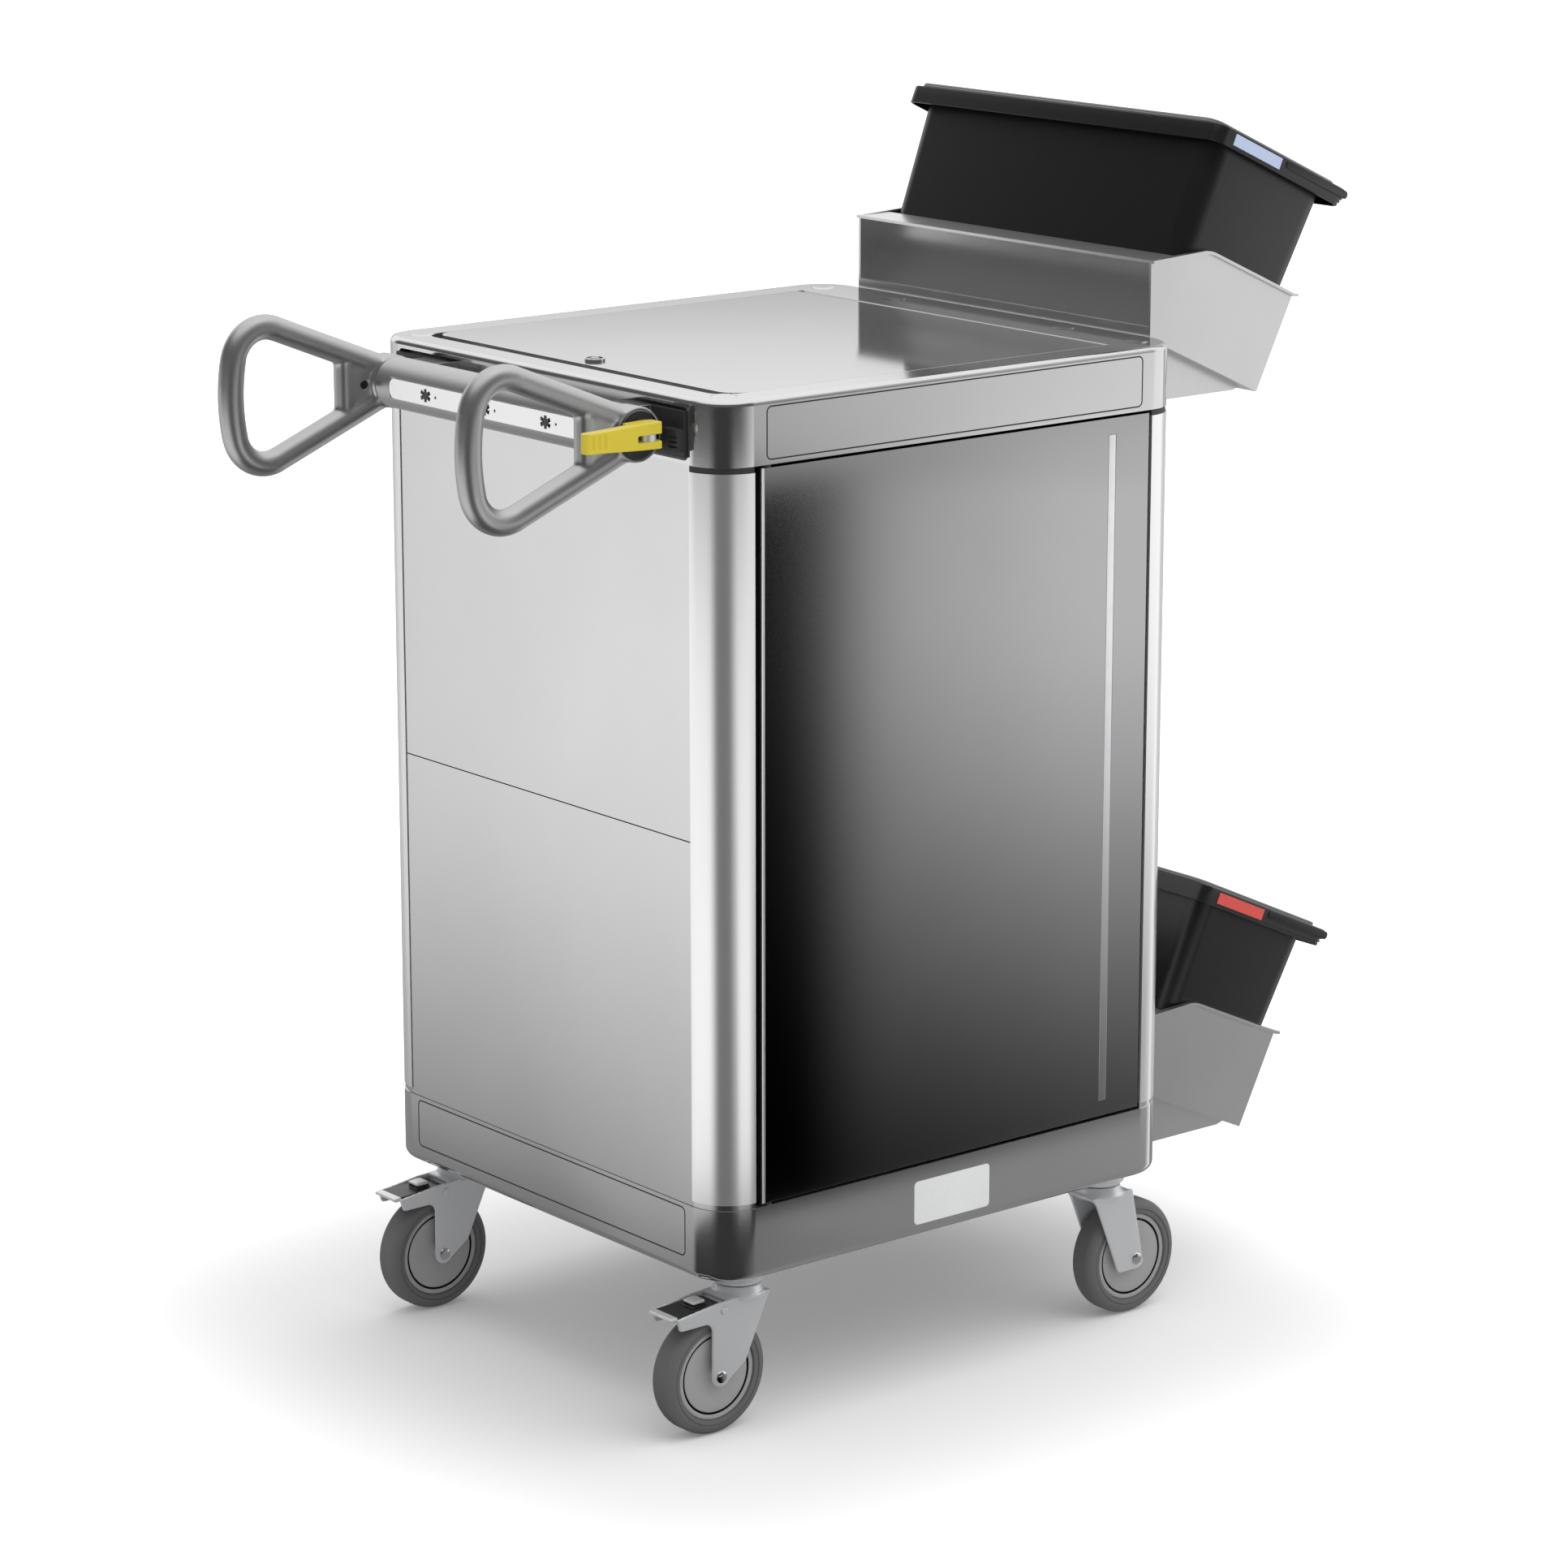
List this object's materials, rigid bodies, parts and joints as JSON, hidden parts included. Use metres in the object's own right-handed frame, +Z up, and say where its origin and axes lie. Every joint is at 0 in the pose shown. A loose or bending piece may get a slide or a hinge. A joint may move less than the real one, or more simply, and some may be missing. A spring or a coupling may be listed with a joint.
{
  "type": "janitor cart",
  "caption": "Closed cabinet cart on swivel casters with a door, a flap lid, folding push-handle loops with cam levers and tilted lift-out bins in sheet trays",
  "frame": {"origin": "on the floor, at the centre of the overall box", "axes": "+X from the push handles to the bins, +Y from the door side to the plain side, +Z up"},
  "size_m": [1.1186, 0.57, 1.2604],
  "materials": {
    "moulding": "satin moulded plastic",
    "trim": "satin moulded plastic",
    "panel": "pale grey satin paint",
    "door": "dark grey semi-gloss laminate",
    "aluminium": "satin anodised",
    "sheet": "satin sheet",
    "zinc": "bright zinc plate",
    "handle": "satin plastic",
    "black": "black satin plastic",
    "yellow": "yellow satin plastic",
    "white": "plain white plate",
    "lid": "satin moulded plastic",
    "bin_lid": "pale grey satin plastic",
    "label_blue": "pale blue label",
    "label_red": "coral red label",
    "tyre": "grey rubber",
    "hub": "grey plastic"
  },
  "bodies": {
    "cart": {"base_tray": "moulding", "trim_inlays": "trim", "badge_plate": "white", "corner_posts": "aluminium", "post_screws": "zinc", "deck_frame": "moulding", "deck_plugs": "trim", "handle_panel_upper": "panel", "handle_panel_lower": "panel", "bin_panel_upper": "panel", "bin_panel_lower": "panel", "rear_panel": "panel", "shelf": "panel", "shelf_rails": "aluminium", "crossbar": "handle", "crossbar_strip": "aluminium", "crossbar_brackets": "black", "door_pivots": "zinc", "lid_hinge_pins": "zinc", "upper_tray": "sheet", "lower_tray": "sheet", "tray_bolts": "zinc", "caster_cups": "zinc"},
    "lid": {"lid": "lid"},
    "lid_knob": {"lid_knob": "lid"},
    "door": {"door": "door", "door_edge_profile": "aluminium", "door_pull_strip": "aluminium"},
    "caster_1": {"caster_fork_1": "zinc", "axle_1": "zinc"},
    "wheel_1": {"tyre_1": "tyre", "wheel_hub_1": "hub"},
    "pedal_1": {"brake_pedal_1": "black"},
    "caster_2": {"caster_fork_2": "zinc", "axle_2": "zinc"},
    "wheel_2": {"tyre_2": "tyre", "wheel_hub_2": "hub"},
    "pedal_2": {"brake_pedal_2": "black"},
    "caster_3": {"caster_fork_3": "zinc", "axle_3": "zinc"},
    "wheel_3": {"tyre_3": "tyre", "wheel_hub_3": "hub"},
    "caster_4": {"caster_fork_4": "zinc", "axle_4": "zinc"},
    "wheel_4": {"tyre_4": "tyre", "wheel_hub_4": "hub"},
    "loop_near": {"handle_loop_near": "handle", "clamp_rosette_near": "black", "clamp_rod_near": "zinc"},
    "lever_near": {"clamp_lever_near": "yellow"},
    "loop_far": {"handle_loop_far": "handle", "clamp_rosette_far": "black", "clamp_rod_far": "zinc"},
    "lever_far": {"clamp_lever_far": "yellow"},
    "bin_upper": {"bin_upper": "black", "bin_label_upper": "label_blue"},
    "bin_lid_upper": {"bin_lid_upper": "bin_lid"},
    "bin_lower": {"bin_lower": "black", "bin_label_lower": "label_red"},
    "bin_lid_lower": {"bin_lid_lower": "bin_lid"}
  },
  "joints": [
    {"name": "lid_hinge", "type": "hinge", "parent": "cart", "child": "lid", "pos_m": [0.21072, 0, 1.038], "axis": [0, 1, 0], "range_deg": [0, 90]},
    {"name": "lid_knob_turn", "type": "hinge", "parent": "lid", "child": "lid_knob", "pos_m": [-0.24828, 0, 1.044], "axis": [0, 0, 1], "range_deg": [0, 90]},
    {"name": "door_hinge", "type": "hinge", "parent": "cart", "child": "door", "pos_m": [-0.25628, -0.277, 0.61], "axis": [0, 0, -1], "range_deg": [0, 115]},
    {"name": "caster_swivel_1", "type": "hinge", "parent": "cart", "child": "caster_1", "pos_m": [-0.25928, -0.2375, 0.145], "axis": [0, 0, 1], "continuous": true},
    {"name": "wheel_spin_1", "type": "hinge", "parent": "caster_1", "child": "wheel_1", "pos_m": [-0.29678, -0.2375, 0.0625], "axis": [0, 1, 0], "continuous": true},
    {"name": "brake_pedal_turn_1", "type": "hinge", "parent": "caster_1", "child": "pedal_1", "pos_m": [-0.29328, -0.2375, 0.1313], "axis": [0, -1, 0], "range_deg": [0, 8]},
    {"name": "caster_swivel_2", "type": "hinge", "parent": "cart", "child": "caster_2", "pos_m": [-0.25928, 0.2375, 0.145], "axis": [0, 0, 1], "continuous": true},
    {"name": "wheel_spin_2", "type": "hinge", "parent": "caster_2", "child": "wheel_2", "pos_m": [-0.29678, 0.2375, 0.0625], "axis": [0, 1, 0], "continuous": true},
    {"name": "brake_pedal_turn_2", "type": "hinge", "parent": "caster_2", "child": "pedal_2", "pos_m": [-0.29328, 0.2375, 0.1313], "axis": [0, -1, 0], "range_deg": [0, 8]},
    {"name": "caster_swivel_3", "type": "hinge", "parent": "cart", "child": "caster_3", "pos_m": [0.22772, -0.2375, 0.145], "axis": [0, 0, 1], "continuous": true},
    {"name": "wheel_spin_3", "type": "hinge", "parent": "caster_3", "child": "wheel_3", "pos_m": [0.26522, -0.2375, 0.0625], "axis": [0, 1, 0], "continuous": true},
    {"name": "caster_swivel_4", "type": "hinge", "parent": "cart", "child": "caster_4", "pos_m": [0.22772, 0.2375, 0.145], "axis": [0, 0, 1], "continuous": true},
    {"name": "wheel_spin_4", "type": "hinge", "parent": "caster_4", "child": "wheel_4", "pos_m": [0.26522, 0.2375, 0.0625], "axis": [0, 1, 0], "continuous": true},
    {"name": "handle_fold_near", "type": "hinge", "parent": "cart", "child": "loop_near", "pos_m": [-0.35728, -0.201, 1.01008], "axis": [0, 1, 0], "range_deg": [-60, 75]},
    {"name": "clamp_lever_turn_near", "type": "hinge", "parent": "loop_near", "child": "lever_near", "pos_m": [-0.35728, -0.229, 1.01008], "axis": [0, 0, 1], "range_deg": [0, 90]},
    {"name": "handle_fold_far", "type": "hinge", "parent": "cart", "child": "loop_far", "pos_m": [-0.35728, 0.201, 1.01008], "axis": [0, 1, 0], "range_deg": [-60, 75]},
    {"name": "clamp_lever_turn_far", "type": "hinge", "parent": "loop_far", "child": "lever_far", "pos_m": [-0.35728, 0.229, 1.01008], "axis": [-0.5446, 0, -0.8387], "range_deg": [0, 90]},
    {"name": "bin_lift_upper", "type": "slide", "parent": "cart", "child": "bin_upper", "axis": [0.4147, 0, 0.91], "range_m": [0, 0.15]},
    {"name": "bin_lid_lift_upper", "type": "slide", "parent": "bin_upper", "child": "bin_lid_upper", "axis": [0.4147, 0, 0.91], "range_m": [0, 0.06]},
    {"name": "bin_lift_lower", "type": "slide", "parent": "cart", "child": "bin_lower", "axis": [0.4147, 0, 0.91], "range_m": [0, 0.15]},
    {"name": "bin_lid_lift_lower", "type": "slide", "parent": "bin_lower", "child": "bin_lid_lower", "axis": [0.4147, 0, 0.91], "range_m": [0, 0.06]}
  ]
}
